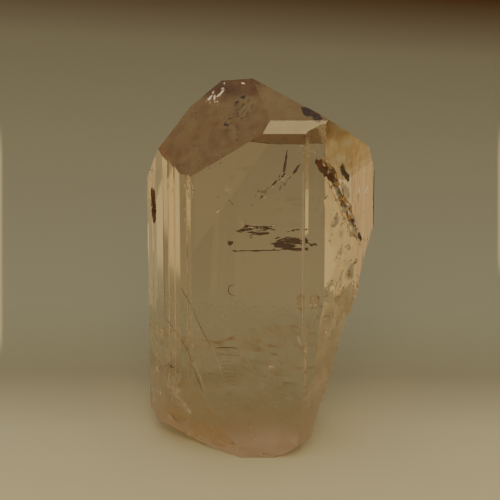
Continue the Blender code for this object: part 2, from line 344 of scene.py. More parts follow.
# Larger plates, in millimetres: face, middle as the face shows it, length, width, turn in degrees, depth
DARK_PLATES = [
    ("front", (1.35, 18.20), 1.50, 0.17, 82, 1.0),
    ("front", (1.95, 17.90), 0.62, 0.20, 57, 0.9),
    ("front", (-1.67, 13.48), 0.42, 0.30, 40, 0.9),
    ("front", (1.75, 13.62), 1.30, 0.36, 4, 1.6),
    ("front", (1.35, 13.30), 1.40, 0.40, 0, 1.8),
    ("front", (2.00, 13.10), 1.10, 0.26, -4, 1.7),
    ("front", (1.00, 13.50), 0.90, 0.24, 12, 1.7),
    ("front", (-0.85, 14.28), 1.20, 0.20, 8, 1.3),
    ("front", (0.10, 14.44), 1.40, 0.22, 3, 1.5),
    ("front", (0.15, 14.05), 1.20, 0.20, 5, 1.7),
    ("front", (-0.40, 14.12), 0.80, 0.16, -6, 1.6),
    ("front", (0.00, 13.02), 2.90, 0.07, 1, 1.9),
    ("left edge", (-6.00, 14.95), 1.30, 1.00, 88, -0.01),
    ("left edge", (-5.97, 14.40), 1.40, 0.90, 90, -0.02),
    ("left edge", (-5.96, 13.80), 1.00, 0.70, 92, -0.01),
    ("front roof", (2.62, 20.98), 1.20, 0.80, -30, 0.06),
    ("front roof", (3.05, 20.78), 0.90, 0.60, -35, 0.06),
    ("pitted side", (3.45, 18.05), 1.30, 0.60, -62, 0.20),
    ("pitted side", (3.75, 17.55), 1.20, 0.50, -58, 0.20),
    ("pitted side", (4.10, 17.00), 0.90, 0.36, -62, 0.20),
    ("pitted side", (4.60, 17.25), 1.10, 0.50, -68, 0.15),
    ("pitted side", (4.80, 16.80), 0.80, 0.44, -68, 0.15),
    ("pitted side", (5.75, 12.60), 0.80, 0.30, -70, 0.20),
    ("left slope", (-1.00, 21.29), 0.42, 0.14, 30, 0.12),
    ("left slope", (-1.34, 20.97), 0.34, 0.12, 40, 0.12),
    ("left slope", (-1.94, 19.97), 0.32, 0.14, 10, 0.12),
]
# Bright plates paint flashes of light off cracks; those at depth nought lie on the faces as painted highlights
BRIGHT_PLATES = [
    ("left front bevel", (-4.13, 16.75), 0.62, 0.26, -60, 0.20),
    ("left front bevel", (-3.98, 16.30), 0.50, 0.20, -70, 0.22),
    ("left front bevel", (-4.20, 15.40), 0.34, 0.14, 80, 0.20),
    ("left front bevel", (-4.21, 14.75), 0.40, 0.12, 88, 0.20),
    ("left front", (-4.90, 16.20), 0.30, 0.10, 80, 0.20),
    ("front", (-2.33, 15.40), 0.30, 0.17, 50, 0.60),
    ("front", (-1.80, 16.75), 0.30, 0.08, -50, 0.60),
    ("front", (1.30, 17.45), 0.80, 0.06, 60, 0.8),
    ("front", (0.70, 17.15), 0.60, 0.05, 55, 0.9),
    ("front", (-0.95, 14.55), 0.26, 0.12, 20, 1.0),
    ("front", (-0.45, 14.42), 0.30, 0.10, -20, 1.0),
    ("front", (2.60, 19.10), 0.55, 0.10, -55, 0.4),
    ("front", (2.95, 18.90), 0.40, 0.08, -60, 0.4),
    ("pitted side", (4.45, 16.40), 1.30, 0.50, -62, 0.00),
    ("pitted side", (4.75, 15.90), 1.20, 0.42, -66, 0.00),
    ("pitted side", (3.75, 18.25), 0.80, 0.24, -50, 0.08),
    ("right side", (5.50, 15.30), 1.10, 0.24, 88, 0.00),
    ("right side", (5.95, 15.20), 0.70, 0.30, 70, 0.00),
    ("left slope", (-2.80, 20.80), 0.62, 0.16, 70, 0.0),
    ("left slope", (-2.52, 20.88), 0.50, 0.14, -70, 0.0),
    ("left slope", (-2.20, 21.12), 0.70, 0.16, 62, 0.0),
    ("left slope", (-0.95, 21.80), 0.34, 0.12, 0, 0.0),
]

# Least depth of a small piece's middle under the real surface, and how far a plate may stand proud of it
PIECE_COVER = 0.01
PLATE_PROUD = 0.02

# Plates: points round the rim, thickness in millimetres, how jagged the rim is, and the usual tilt in degrees
PLATE_POINTS = 14
PLATE_THICKNESS = 0.03
PLATE_JAG = 0.45
PLATE_TILT = 8.0

# Specks: the smallest as a share of the largest, and how near a face's roughness must be to the pitted finish
SPECK_LEAST = 0.3
FINISH_MARGIN = 0.01

# Fine lines where cracks and ripples end: the radius in millimetres that a thickness of one gives, and the
# share of it left at the ends. Then, as a face shows them: face, points, depth and thickness in millimetres
HAIR_RADIUS = 0.5
HAIR_END = 0.35
DARK_HAIRS = [
    ("front", [(-1.40, 10.90), (-1.70, 10.94), (-1.84, 10.60), (-1.70, 10.28), (-1.40, 10.24)], 0.3, 0.05),
    ("front", [(-2.53, 6.97), (-1.95, 7.06), (-1.24, 6.96)], 0.20, 0.08),
    ("front", [(-2.48, 6.52), (-1.90, 6.60), (-1.15, 6.50)], 0.20, 0.03),
    ("front", [(-3.75, 9.48), (-3.53, 8.61), (-3.09, 7.74), (-2.75, 7.06)], 0.20, 0.045),
    ("left front bevel", [(-4.47, 10.48), (-4.19, 10.09), (-3.91, 9.64)], 0.15, 0.06),
    ("left front", [(-5.37, 8.02), (-4.96, 7.66), (-4.62, 7.32)], 0.15, 0.06),
    ("left front bevel", [(-4.45, 7.25), (-4.11, 6.75), (-3.89, 6.08)], 0.15, 0.05),
    ("front", [(-3.83, 5.92), (-3.55, 5.10), (-3.22, 4.20)], 0.15, 0.045),
    ("left front", [(-5.40, 17.40), (-5.41, 13.00), (-5.40, 8.00)], 0.06, 0.045),
]
# Bright lines paint highlights: the first and the fifth run down the front's edges as painted edge highlights,
# and the rest paint the glint along cracks
BRIGHT_HAIRS = [
    ("left front bevel", [(-3.89, 16.90), (-3.88, 13.00), (-3.87, 9.60)], 0.03, 0.05),
    ("front", [(-2.80, 7.30), (-2.45, 6.40), (-2.14, 5.40), (-1.98, 4.65)], 0.22, 0.07),
    ("front", [(-3.68, 6.10), (-3.40, 5.20), (-3.10, 4.30)], 0.15, 0.10),
    ("front", [(-1.15, 6.90), (-0.66, 6.25), (-0.38, 5.50)], 0.30, 0.05),
    ("front", [(2.33, 17.82), (2.35, 14.0), (2.36, 10.5), (2.37, 7.60)], 0.10, 0.14),
    ("front", [(2.10, 7.75), (2.20, 7.40), (2.30, 7.10)], 0.15, 0.26),
]

# Ripples: how many, the middle of the top one, how far each lies below and to the right of the last, half the
# width of the top one and how much of it each next one loses, how far the ends sag, the flat middle's share
# of the width, and depth and thickness, in millimetres
RIPPLES = 7
RIPPLE_TOP = (-1.88, 6.20)
RIPPLE_STEP = 0.24
RIPPLE_SHIFT = 0.05
RIPPLE_HALF_WIDTH = 0.62
RIPPLE_LOSS = 0.05
RIPPLE_SAG = 0.24
RIPPLE_FLAT = 0.4
RIPPLE_DEPTH = 0.25
RIPPLE_THICKNESS = 0.012

# Hackles: how many, where they begin and end along the crack, the longest, and the shortest as a share of it.
# Then as shares of a hackle's length: how far its middle swings aside and hangs down, and how much further
# aside its end is than its middle. Last, depth and thickness in millimetres
HACKLES = 18
HACKLE_START = (-3.70, 9.30)
HACKLE_END = (-2.90, 7.30)
HACKLE_LENGTH = 1.1
HACKLE_LEAST = 0.5
HACKLE_BEND = 0.25
HACKLE_DROP = 0.45
HACKLE_HOOK = 1.2
HACKLE_DEPTH = 0.18
HACKLE_THICKNESS = 0.03

# Sizes in millimetres of the patches of rust on a needle and of the dull patches in an air film, and the
# values between which most of a noise texture lies
RUST_PATCH = 0.25
FILM_PATCH = 0.15
NOISE_RANGE = (0.3, 0.7)

# Picture: the camera stands in front, a little above, and frames 28.4 mm at the crystal. It sees what lies
# between the clip distances, in metres
CAMERA_TILT = 25.0
CAMERA_AWAY = 180.0
CAMERA_AIM = (-0.568, 0.0, 11.0)
CAMERA_CLIP = (0.01, 10.0)
FRAMED_WIDTH = 28.41
SENSOR_WIDTH = 36.0

# Front panel: where it hangs, what it is turned to and its size in millimetres, its power in watts and colour
PANEL_PLACE = (0.0, -224.0, 215.0)
PANEL_AIM = (0.0, 0.0, 15.0)
PANEL_SIZE = (120.0, 120.0)
PANEL_POWER = 0.16
PANEL_COLOUR = "#ffdc9e"

# Painted light and shade on the board: colours at distances behind the crystal's axis in millimetres,
# from near to far, pale in a painted pool of light in front, dropping to painted shade behind the crystal's
# foot and darker further back, down to dark brown at the far end. Then how strongly the lines of one colour
# lie askew
BOARD_PAINTED_LIGHT = [
    (-40.0, "#fbf2d0"),
    (-8.0, "#e4deb4"),
    (-1.0, "#d7d3b0"),
    (6.0, "#a8a68b"),
    (15.0, "#acae96"),
    (42.0, "#a09e86"),
    (60.0, "#918e76"),
    (74.0, "#543518"),
]
BOARD_SLANT = 2.6

# Painted pools of light on the board either side of the picture, in millimetres: their middle line, how they
# spread with distance, their inner edges, where they begin and end going back, how much further back the right
# one begins, how fast its outer edge slants away, and how soft that edge is
POOL_CENTRE = -0.568
POOL_SPREAD = 0.0715
SIDE_POOL = (14.3, 14.7)
POOL_START = (8.0, 12.0)
POOL_END = (38.0, 46.0)
RIGHT_POOL_LAG = 11.0
RIGHT_POOL_SLANT = 0.95
RIGHT_POOL_EDGE = (-0.5, 0.8)

# Felt screen that stands behind the table in a half ring: its radius, height and thickness in millimetres,
# the angles where it begins and ends in degrees from +X, and how many flat panels it has. Then the size in
# millimetres of its fibres as drawn, and the least and most brightness that they give its tint
SCREEN_RADIUS = 450.0
SCREEN_HEIGHT = 330.0
SCREEN_THICKNESS = 3.0
SCREEN_ARC = (-8.0, 188.0)
SCREEN_PANELS = 48
FELT_FIBRE = 0.3
FELT_SHADES = (0.85, 1.15)


def linear(hex_colour):
    """Linear red, green, blue and alpha of an sRGB hex colour."""
    parts = [int(hex_colour[start:start + 2], 16) / 255.0 for start in (1, 3, 5)]
    parts = [c / 12.92 if c <= 0.04045 else ((c + 0.055) / 1.055) ** 2.4 for c in parts]
    return (*parts, 1.0)


def add(tree, kind, settings=None, links=None):
    """Add one node, set its plain values and fields, and link sockets of earlier nodes into it."""
    node = tree.nodes.new(kind)
    for name, value in (settings or {}).items():
        if isinstance(name, int) or name in node.inputs:
            node.inputs[name].default_value = value
        else:
            setattr(node, name, value)
    for name, socket in (links or {}).items():
        tree.links.new(socket, node.inputs[name])
    return node


def blank_material(name):
    """A material and its emptied node tree."""
    material = bpy.data.materials.new(name)
    material.use_nodes = True
    tree = material.node_tree
    tree.nodes.clear()
    return material, tree


def topaz_material(settings):
    """Champagne topaz, grown clear and broken rough.

    The grown faces are as smooth as glass, and broken ones scatter light like ground glass. Light that runs a
    long way through the stone turns from nearly clear to brown.
    """
    material, tree = blank_material("champagne topaz, grown and broken")
    broken = add(tree, "ShaderNodeAttribute", {"attribute_name": "broken"})
    place = add(tree, "ShaderNodeTexCoord")
    frost = add(tree, "ShaderNodeTexNoise", {"Scale": 1.0 / (FROST_PATCH * MM), "Detail": 3.0},
                {"Vector": place.outputs["Object"]})
    patchy = add(tree, "ShaderNodeMapRange",
                 {"From Min": FROST_NOISE[0], "From Max": FROST_NOISE[1],
                  "To Min": BROKEN_ROUGHNESS[0], "To Max": BROKEN_ROUGHNESS[1]},
                 {"Value": frost.outputs["Fac"]})
    split = add(tree, "ShaderNodeSeparateXYZ", {}, {"Vector": place.outputs["Object"]})
    cloud = add(tree, "ShaderNodeTexNoise", {"Scale": 1.0 / (FROST_EDGE * MM), "Detail": 2.0},
                {"Vector": place.outputs["Object"]})
    wavy = add(tree, "ShaderNodeMath", {"operation": "MULTIPLY_ADD", 1: FROST_WAVE * MM},
               {0: cloud.outputs["Fac"], 2: split.outputs["Z"]})
    front = SIDE_FACES[0][2] * MM
    behind = add(tree, "ShaderNodeMath", {"operation": "ADD", 1: front}, {0: split.outputs["Y"]})
    height = add(tree, "ShaderNodeMath", {"operation": "MULTIPLY_ADD", 1: -FROST_RISE},
                 {0: behind.outputs[0], 2: wavy.outputs[0]})
    footed = add(tree, "ShaderNodeMapRange",
                 {"interpolation_type": "SMOOTHSTEP", "From Min": FROST_FOOT[0] * MM,
                  "From Max": FROST_FOOT[1] * MM, "To Min": FOOT_FROST, "To Max": 0.0},
                 {"Value": height.outputs[0]})
    frosted = add(tree, "ShaderNodeMath", {"operation": "MAXIMUM"},
                  {0: broken.outputs["Fac"], 1: footed.outputs["Result"]})
    rough = add(tree, "ShaderNodeMix", {"data_type": "FLOAT", "A": CLEAR_ROUGHNESS},
                {"Factor": frosted.outputs[0], "B": patchy.outputs["Result"]})
    stained = add(tree, "ShaderNodeAttribute", {"attribute_name": "stained"})
    clay = add(tree, "ShaderNodeTexNoise", {"Scale": 1.0 / (STAIN_PATCH * MM), "Detail": 4.0},
               {"Vector": place.outputs["Object"]})
    centred = add(tree, "ShaderNodeMath", {"operation": "SUBTRACT", 1: NOISE_MIDDLE},
                  {0: clay.outputs["Fac"]})
    contrast = add(tree, "ShaderNodeMapRange",
                   {"From Min": CONTRAST_ROUGHNESS[0], "From Max": CONTRAST_ROUGHNESS[1],
                    "To Min": STAIN_CONTRAST[0], "To Max": STAIN_CONTRAST[1]},
                   {"Value": broken.outputs["Fac"]})
    mottle = add(tree, "ShaderNodeMath", {"operation": "MULTIPLY_ADD", 2: 1.0},
                 {0: centred.outputs[0], 1: contrast.outputs["Result"]})
    blotchy = add(tree, "ShaderNodeMath", {"operation": "MULTIPLY"},
                  {0: stained.outputs["Fac"], 1: mottle.outputs[0]})
    stain = add(tree, "ShaderNodeValToRGB", {}, {"Fac": blotchy.outputs[0]})
    stain.color_ramp.elements[0].color = linear("#fffcf2")
    stain.color_ramp.elements[1].color = linear("#a66d32")
    stain.color_ramp.elements.new(0.5).color = linear("#e6cb88")
    shader = add(tree, "ShaderNodeBsdfPrincipled", {"IOR": TOPAZ_IOR, "Transmission Weight": 1.0},
                 {"Roughness": rough.outputs["Result"], "Base Color": stain.outputs["Color"]})
    depth = add(tree, "ShaderNodeVolumeAbsorption",
                {"Color": settings.body_tint[:] + (1.0,), "Density": settings.body_depth})
    add(tree, "ShaderNodeOutputMaterial", {},
        {"Surface": shader.outputs["BSDF"], "Volume": depth.outputs["Volume"]})
    return material


def finished_mesh(name, bm):
    """Object made from a mesh in millimetres, at the origin."""
    bmesh.ops.scale(bm, vec=(MM, MM, MM), verts=bm.verts)
    mesh = bpy.data.meshes.new(name)
    bm.to_mesh(mesh)
    bm.free()
    obj = bpy.data.objects.new(name, mesh)
    bpy.context.collection.objects.link(obj)
    return obj


def facing(angle):
    """Level direction at an angle in degrees from +X."""
    turn = math.radians(angle)
    return Vector((math.cos(turn), math.sin(turn), 0.0))


def corner(first, second):
    """Point in plan where two neighbouring side faces meet."""
    a = facing(first[1])
    b = facing(second[1])
    cross = a.x * b.y - a.y * b.x
    x = (first[2] * b.y - second[2] * a.y) / cross
    y = (second[2] * a.x - first[2] * b.x) / cross
    return Vector((x, y, 0.0))


def lined_side(start, end, face, settings, rng):
    """Plan points along one side face, tilted to and fro by its growth lines, or stepped all one way."""
    points = [start]
    if not face[3]:
        return points
    stepped = face[4]
    run = end - start
    inward = facing(face[1]) * -1.0
    spread = STEP_SPREAD if stepped else 1.0
    spacing = settings.line_spacing / MM * spread
    depth = settings.line_depth / MM * face[3] * spread
    travelled = 0.0
    while True:
        travelled += spacing * rng.uniform(*LINE_GAPS)
        if travelled > run.length - spacing * LINE_END:
            return points
        here = start + run.normalized() * travelled
        if stepped:
            points.append(here - run.normalized() * LINE_RISER)
            points.append(here + inward * depth)
        else:
            points.append(here + inward * depth * rng.random())


def cross_section(settings):
    """Plan outline of the prism, anticlockwise, with its growth lines."""
    rng = random.Random(settings.seed)
    outline = []
    total = len(SIDE_FACES)
    for index, face in enumerate(SIDE_FACES):
        before = SIDE_FACES[index - 1]
        after = SIDE_FACES[(index + 1) % total]
        outline += lined_side(corner(before, face), corner(face, after), face, settings, rng)
    return outline


def nearest_side(place):
    """Row of the side face whose plane lies closest to a place."""
    return min(SIDE_FACES, key=lambda row: abs(row[2] - facing(row[1]).dot(place)))


def prism(settings):
    """Upright prism drawn up from its cross section."""
    bm = bmesh.new()
    floor = bm.faces.new([bm.verts.new(point) for point in cross_section(settings)])
    raised = bmesh.ops.extrude_face_region(bm, geom=[floor])["geom"]
    top = [item for item in raised if isinstance(item, bmesh.types.BMVert)]
    bmesh.ops.translate(bm, vec=(0.0, 0.0, PRISM_HEIGHT), verts=top)
    for face in bm.faces:
        heights = {vert.co.z for vert in face.verts}
        if len(heights) > 1:
            face.material_index = FINISHES.index(nearest_side(face.calc_center_median())[5])
        elif 0.0 in heights:
            face.material_index = FINISHES.index("resting")
    return bm


def cut_face(bm, angle, tilt, distance, finish):
    """Slice away what lies outside one plane and close the cut."""
    lean = math.radians(tilt)
    normal = facing(angle) * math.sin(lean) + Vector((0.0, 0.0, math.cos(lean)))
    everything = bm.verts[:] + bm.edges[:] + bm.faces[:]
    bmesh.ops.bisect_plane(bm, geom=everything, dist=ON_PLANE, plane_co=normal * distance, plane_no=normal,
                           clear_outer=True)
    rim = [edge for edge in bm.edges if edge.is_boundary]
    for face in bmesh.ops.holes_fill(bm, edges=rim, sides=0)["faces"]:
        face.material_index = FINISHES.index(finish)


def relief(place, size):
    """Uneven height between -1 and 1 that changes over a given distance."""
    return noise.noise(place / size)


def pit(place, depth):
    """Depth of a small sharp-rimmed hollow at a place, or nothing between the hollows."""
    return -depth * max(0.0, relief(place, PIT_SIZE) - PIT_START) / PIT_RISE


def steps(low, high, grain):
    """Evenly spaced positions from low to high, about a grain apart."""
    count = max(2, round((high - low) / grain))
    return [low + (high - low) * index / count for index in range(count + 1)]


def rough_block(name, columns, rows, surface, outer):
    """Closed block with an uneven inner surface and a plain outer one."""
    bm = bmesh.new()
    near = [[bm.verts.new(surface(u, v)) for v in rows] for u in columns]
    far = [[bm.verts.new(outer(u, v)) for v in rows] for u in columns]
    last_u = len(columns) - 1
    last_v = len(rows) - 1
    for i in range(last_u):
        for j in range(last_v):
            bm.faces.new((near[i][j], near[i + 1][j], near[i + 1][j + 1], near[i][j + 1]))
            bm.faces.new((far[i][j], far[i][j + 1], far[i + 1][j + 1], far[i + 1][j]))
    for i in range(last_u):
        for j in (0, last_v):
            bm.faces.new((near[i][j], far[i][j], far[i + 1][j], near[i + 1][j]))
    for j in range(last_v):
        for i in (0, last_u):
            bm.faces.new((near[i][j], near[i][j + 1], far[i][j + 1], far[i][j]))
    bmesh.ops.recalc_face_normals(bm, faces=bm.faces)
    return finished_mesh(name, bm)


def break_block(name, spec, settings):
    """Block that takes off everything outside one broken face."""
    normal = Vector(spec["normal"]).normalized()
    across = Vector(spec["across"])
    across = (across - normal * across.dot(normal)).normalized()
    up = normal.cross(across)
    point = Vector(spec["point"])
    u_low, u_high, v_low, v_high = spec["reach"]

    def surface(u, v):
        base = point + across * u + up * v
        fine = relief(base, FINE_SIZE) * FINE_SHARE + relief(base, COARSE_SIZE)
        fine += GRIT_SHARE * relief(base, GRIT_SIZE)
        height = spec["relief"] * fine + spec["swell"] * relief(base, SWELL_SIZE)
        return base + normal * (height + pit(base, spec["pits"]))

    def outer(u, v):
        return point + across * u + up * v + normal * CUTTER_DEPTH

    columns = steps(u_low, u_high, settings.grain / MM)
    rows = steps(v_low, v_high, settings.grain / MM)
    return rough_block(name, columns, rows, surface, outer)


def along(path, share):
    """Point at a share of the way down a path of straight runs."""
    place = share * (len(path) - 1)
    index = min(int(place), len(path) - 2)
    return Vector(path[index]).lerp(Vector(path[index + 1]), place - index)


def ledge_block():
    """Lumpy rod that bites the ledge out along the top of the pitted side."""
    out = Vector(BROKEN_FACES["pitted side"]["normal"]).normalized()
    bm = bmesh.new()
    loops = []
    for ring in range(LEDGE_RINGS + 1):
        share = ring / LEDGE_RINGS
        here = along(LEDGE_PATH, share)
        before = along(LEDGE_PATH, max(0.0, share - LEDGE_READ))
        ahead = along(LEDGE_PATH, min(1.0, share + LEDGE_READ)) - before
        sideways = ahead.cross(out).normalized()
        taper = min(1.0, LEDGE_END + LEDGE_FLARE * min(share, 1.0 - share))
        width = LEDGE_RADIUS * taper * (1.0 + LEDGE_LUMPS * relief(here, FINE_SIZE))
        loop = []
        for side in range(LEDGE_SIDES):
            turn = 2.0 * math.pi * side / LEDGE_SIDES
            ray = sideways * math.cos(turn) + out * math.sin(turn)
            reach = width + LEDGE_RELIEF * relief(here + ray * width, SMALL_SIZE)
            loop.append(bm.verts.new(here + ray * reach))
        loops.append(loop)
    for near, far in zip(loops, loops[1:]):
        for side in range(LEDGE_SIDES):
            after = (side + 1) % LEDGE_SIDES
            bm.faces.new((near[side], near[after], far[after], far[side]))
    bm.faces.new(loops[0])
    bm.faces.new(loops[-1])
    bmesh.ops.recalc_face_normals(bm, faces=bm.faces)
    return finished_mesh("ledge bites", bm)


def stain_shoulder(bm):
    """Part the front right faces level with the back roof's lower edge, and stain them above it."""
    for level, finish in SHOULDER_LEVELS:
        everything = bm.verts[:] + bm.edges[:] + bm.faces[:]
        bmesh.ops.bisect_plane(bm, geom=everything, dist=ON_PLANE, plane_co=(0.0, 0.0, level),
                               plane_no=(0.0, 0.0, 1.0))
        for face in bm.faces:
            upright = abs(face.normal.z) < SHOULDER_LEAN
            frontal = face.normal.x > SHOULDER_RIGHT and face.normal.y < SHOULDER_BACK
            if upright and frontal and face.calc_center_median().z > level:
                face.material_index = FINISHES.index(finish)


def underside_block(settings):
    """Block that breaks the base away all round its flat patch."""
    half_x, half_y = UNDERSIDE_REACH

    def surface(x, y):
        ring = math.hypot((x - PATCH_CENTRE[0]) / PATCH_RADII[0], (y - PATCH_CENTRE[1]) / PATCH_RADII[1])
        share = 0.5 + 0.5 * x / half_x
        rise = (ring - 1.0) * (RISE_LEFT + (RISE_RIGHT - RISE_LEFT) * share)
        place = Vector((x, y, 0.0))
        rise += UNDERSIDE_RELIEF * (relief(place, COARSE_SIZE) + UNDERSIDE_SMALL * relief(place, SMALL_SIZE))
        return Vector((x, y, max(-PATCH_CLEARANCE, rise)))

    def outer(x, y):
        return Vector((x, y, -UNDERSIDE_DEPTH))

    columns = steps(-half_x, half_x, settings.grain / MM)
    rows = steps(-half_y, half_y, settings.grain / MM)
    return rough_block("underside break", columns, rows, surface, outer)


def break_off(crystal, block, finish):
    """Take one rough block out of the crystal, and give the new faces their finish."""
    block.data.materials.append(crystal.data.materials[FINISHES.index(finish)])
    cut = crystal.modifiers.new(block.name, "BOOLEAN")
    cut.operation = "DIFFERENCE"
    cut.solver = "EXACT"
    cut.material_mode = "TRANSFER"
    cut.object = block
    bpy.context.view_layer.update()
    result = bpy.data.meshes.new_from_object(crystal.evaluated_get(bpy.context.evaluated_depsgraph_get()))
    crystal.modifiers.clear()
    crystal.data = result
    bpy.data.objects.remove(block, do_unlink=True)


def mark_finishes(mesh):
    """Store on each face how rough and how stained its finish is, for the material to read."""
    for name, values in (("broken", 0), ("stained", 1)):
        mesh.attributes.new(name, "FLOAT", "FACE")
        shares = [FACE_FINISHES[slot.name][values] for slot in mesh.materials]
        on_faces = [shares[face.material_index] for face in mesh.polygons]
        mesh.attributes[name].data.foreach_set("value", on_faces)
    for face in mesh.polygons:
        face.material_index = 0
    mesh.materials.clear()


def grow_crystal(settings):
    """The crystal with its fine growth lines and its broken faces."""
    bm = prism(settings)
    for _, angle, tilt, distance, finish in SLOPING_FACES:
        cut_face(bm, angle, tilt, distance, finish)
    bmesh.ops.recalc_face_normals(bm, faces=bm.faces)
    stain_shoulder(bm)
    crystal = finished_mesh("clear_crystal", bm)
    for finish in FINISHES:
        crystal.data.materials.append(bpy.data.materials.new(finish))
    for name, spec in BROKEN_FACES.items():
        break_off(crystal, break_block(name, spec, settings), spec["finish"])
    break_off(crystal, ledge_block(), "shell")
    break_off(crystal, underside_block(settings), "ground")
    mark_finishes(crystal.data)
    crystal.data.materials.append(topaz_material(settings))
    return crystal


def needle_material():
    """Iron-stained needles and plates: nearly black brown, and dull."""
    material, tree = blank_material("iron-stained needle")
    place = add(tree, "ShaderNodeTexCoord")
    cloud = add(tree, "ShaderNodeTexNoise", {"Scale": 1.0 / (RUST_PATCH * MM), "Detail": 2.0},
                {"Vector": place.outputs["Object"]})
    rust = add(tree, "ShaderNodeMix", {"data_type": "RGBA", 6: linear("#341b0a"), 7: linear("#74441c")},
               {0: cloud.outputs["Fac"]})
    shader = add(tree, "ShaderNodeBsdfPrincipled", {"Roughness": 0.55}, {"Base Color": rust.outputs[2]})
    add(tree, "ShaderNodeOutputMaterial", {}, {"Surface": shader.outputs["BSDF"]})
    return material


def flake_material():
    """Thin air films in tiny cracks: white where light strikes them, with a slight gleam, the white a
    painted glint for the light that such cracks throw back.
    """
    material, tree = blank_material("air film and painted glint")
    place = add(tree, "ShaderNodeTexCoord")
    cloud = add(tree, "ShaderNodeTexNoise", {"Scale": 1.0 / (FILM_PATCH * MM), "Detail": 2.0},
                {"Vector": place.outputs["Object"]})
    dull = add(tree, "ShaderNodeMapRange",
               {"From Min": NOISE_RANGE[0], "From Max": NOISE_RANGE[1], "To Min": 0.3, "To Max": 0.6},
               {"Value": cloud.outputs["Fac"]})
    shader = add(tree, "ShaderNodeBsdfPrincipled", {"Base Color": linear("#fff2da"), "Metallic": 0.15},
                 {"Roughness": dull.outputs["Result"]})
    add(tree, "ShaderNodeOutputMaterial", {}, {"Surface": shader.outputs["BSDF"]})
    return material


def face_plane(name):
    """Direction and distance of one named side or top face."""
    for side, angle, distance, *_ in SIDE_FACES:
        if side == name:
            return facing(angle), distance
    for sloping, angle, tilt, distance, _ in SLOPING_FACES:
        if sloping == name:
            lean = math.radians(tilt)
            return facing(angle) * math.sin(lean) + Vector((0.0, 0.0, math.cos(lean))), distance
    if name in BROKEN_FACES:
        normal = Vector(BROKEN_FACES[name]["normal"]).normalized()
        return normal, normal.dot(Vector(BROKEN_FACES[name]["point"]))
    raise ValueError(f"no face is named {name}")


def inside(face, place, depth):
    """Point that a face shows at a place, a depth behind it."""
    normal, distance = face_plane(face)
    x, z = place
    y = (distance - normal.x * x - normal.z * z) / normal.y
    return Vector((x, y, z)) - normal * depth - Vector((0.0, 0.0, DROP * depth))


def tucked(place, cover):
    """The same place, or the nearest one that lies at least this deep under the crystal's real surface."""
    _, spot, outward, _ = bpy.data.objects["clear_crystal"].closest_point_on_mesh(place * MM)
    if (spot - place * MM).dot(outward) >= cover * MM:
        return place
    return spot / MM - outward * cover


def mark_points(name, rows, seed):
    """Loose points along every row, each with the turn and the length of its piece."""
    bpy.context.view_layer.update()
    rng = random.Random(seed)
    points, turns, lengths = [], [], []
    for face, start, end, depth, count, stray, length in rows:
        lean = -math.atan2(end[1] - start[1], end[0] - start[0])
        for _ in range(count):
            share = rng.random()
            x = start[0] + (end[0] - start[0]) * share + rng.gauss(0.0, stray)
            z = start[1] + (end[1] - start[1]) * share + rng.gauss(0.0, stray)
            spot = inside(face, (x, z), depth * rng.uniform(*ROW_DEPTHS))
            points.append(tucked(spot, PIECE_COVER) * MM)
            turns.append(lean + rng.gauss(0.0, ROW_TURN))
            lengths.append(length * rng.uniform(*ROW_LENGTHS) * MM)
    mesh = bpy.data.meshes.new(name)
    mesh.from_pydata(points, [], [])
    mesh.attributes.new("turn", "FLOAT", "POINT").data.foreach_set("value", turns)
    mesh.attributes.new("length", "FLOAT", "POINT").data.foreach_set("value", lengths)
    obj = bpy.data.objects.new(name, mesh)
    bpy.context.collection.objects.link(obj)
    return obj


def group_input(tree, name, kind, default):
    """Add one named input to a node group, with its usual value."""
    socket = tree.interface.new_socket(name=name, in_out="INPUT", socket_type=kind)
    if default is not None:
        socket.default_value = default


def splinter_tree():
    """Node group: one thin splinter at every point, by its turn and length."""
    tree = bpy.data.node_groups.new("splinters on points", "GeometryNodeTree")
    group_input(tree, "Points", "NodeSocketGeometry", None)
    group_input(tree, "Width", "NodeSocketFloat", 0.25)
    group_input(tree, "Thickness", "NodeSocketFloat", 0.12)
    group_input(tree, "Tumble", "NodeSocketFloat", 0.5)
    group_input(tree, "Seed", "NodeSocketInt", 0)
    group_input(tree, "Finish", "NodeSocketMaterial", None)
    tree.interface.new_socket(name="Splinters", in_out="OUTPUT", socket_type="NodeSocketGeometry")
    given = add(tree, "NodeGroupInput").outputs
    turn = add(tree, "GeometryNodeInputNamedAttribute", {"data_type": "FLOAT", "Name": "turn"})
    length = add(tree, "GeometryNodeInputNamedAttribute", {"data_type": "FLOAT", "Name": "length"})
    against = add(tree, "ShaderNodeMath", {"operation": "MULTIPLY", 1: -1.0}, {0: given["Tumble"]})
    tumble = add(tree, "FunctionNodeRandomValue", {"data_type": "FLOAT"},
                 {2: against.outputs[0], 3: given["Tumble"], "Seed": given["Seed"]})
    width = add(tree, "ShaderNodeMath", {"operation": "MULTIPLY"}, {0: length.outputs[0], 1: given["Width"]})
    thickness = add(tree, "ShaderNodeMath", {"operation": "MULTIPLY"},
                    {0: length.outputs[0], 1: given["Thickness"]})
    turned = add(tree, "ShaderNodeCombineXYZ", {}, {"X": tumble.outputs[1], "Y": turn.outputs[0]})
    size = add(tree, "ShaderNodeCombineXYZ", {},
               {"X": length.outputs[0], "Y": thickness.outputs[0], "Z": width.outputs[0]})
    splinter = add(tree, "GeometryNodeMeshIcoSphere", {"Radius": 0.5, "Subdivisions": 2})
    placed = add(tree, "GeometryNodeInstanceOnPoints", {},
                 {"Points": given["Points"], "Instance": splinter.outputs["Mesh"],
                  "Rotation": turned.outputs[0], "Scale": size.outputs[0]})
    real = add(tree, "GeometryNodeRealizeInstances", {}, {"Geometry": placed.outputs[0]})
    painted = add(tree, "GeometryNodeSetMaterial", {},
                  {"Geometry": real.outputs[0], "Material": given["Finish"]})
    add(tree, "NodeGroupOutput", {}, {"Splinters": painted.outputs[0]})
    return tree


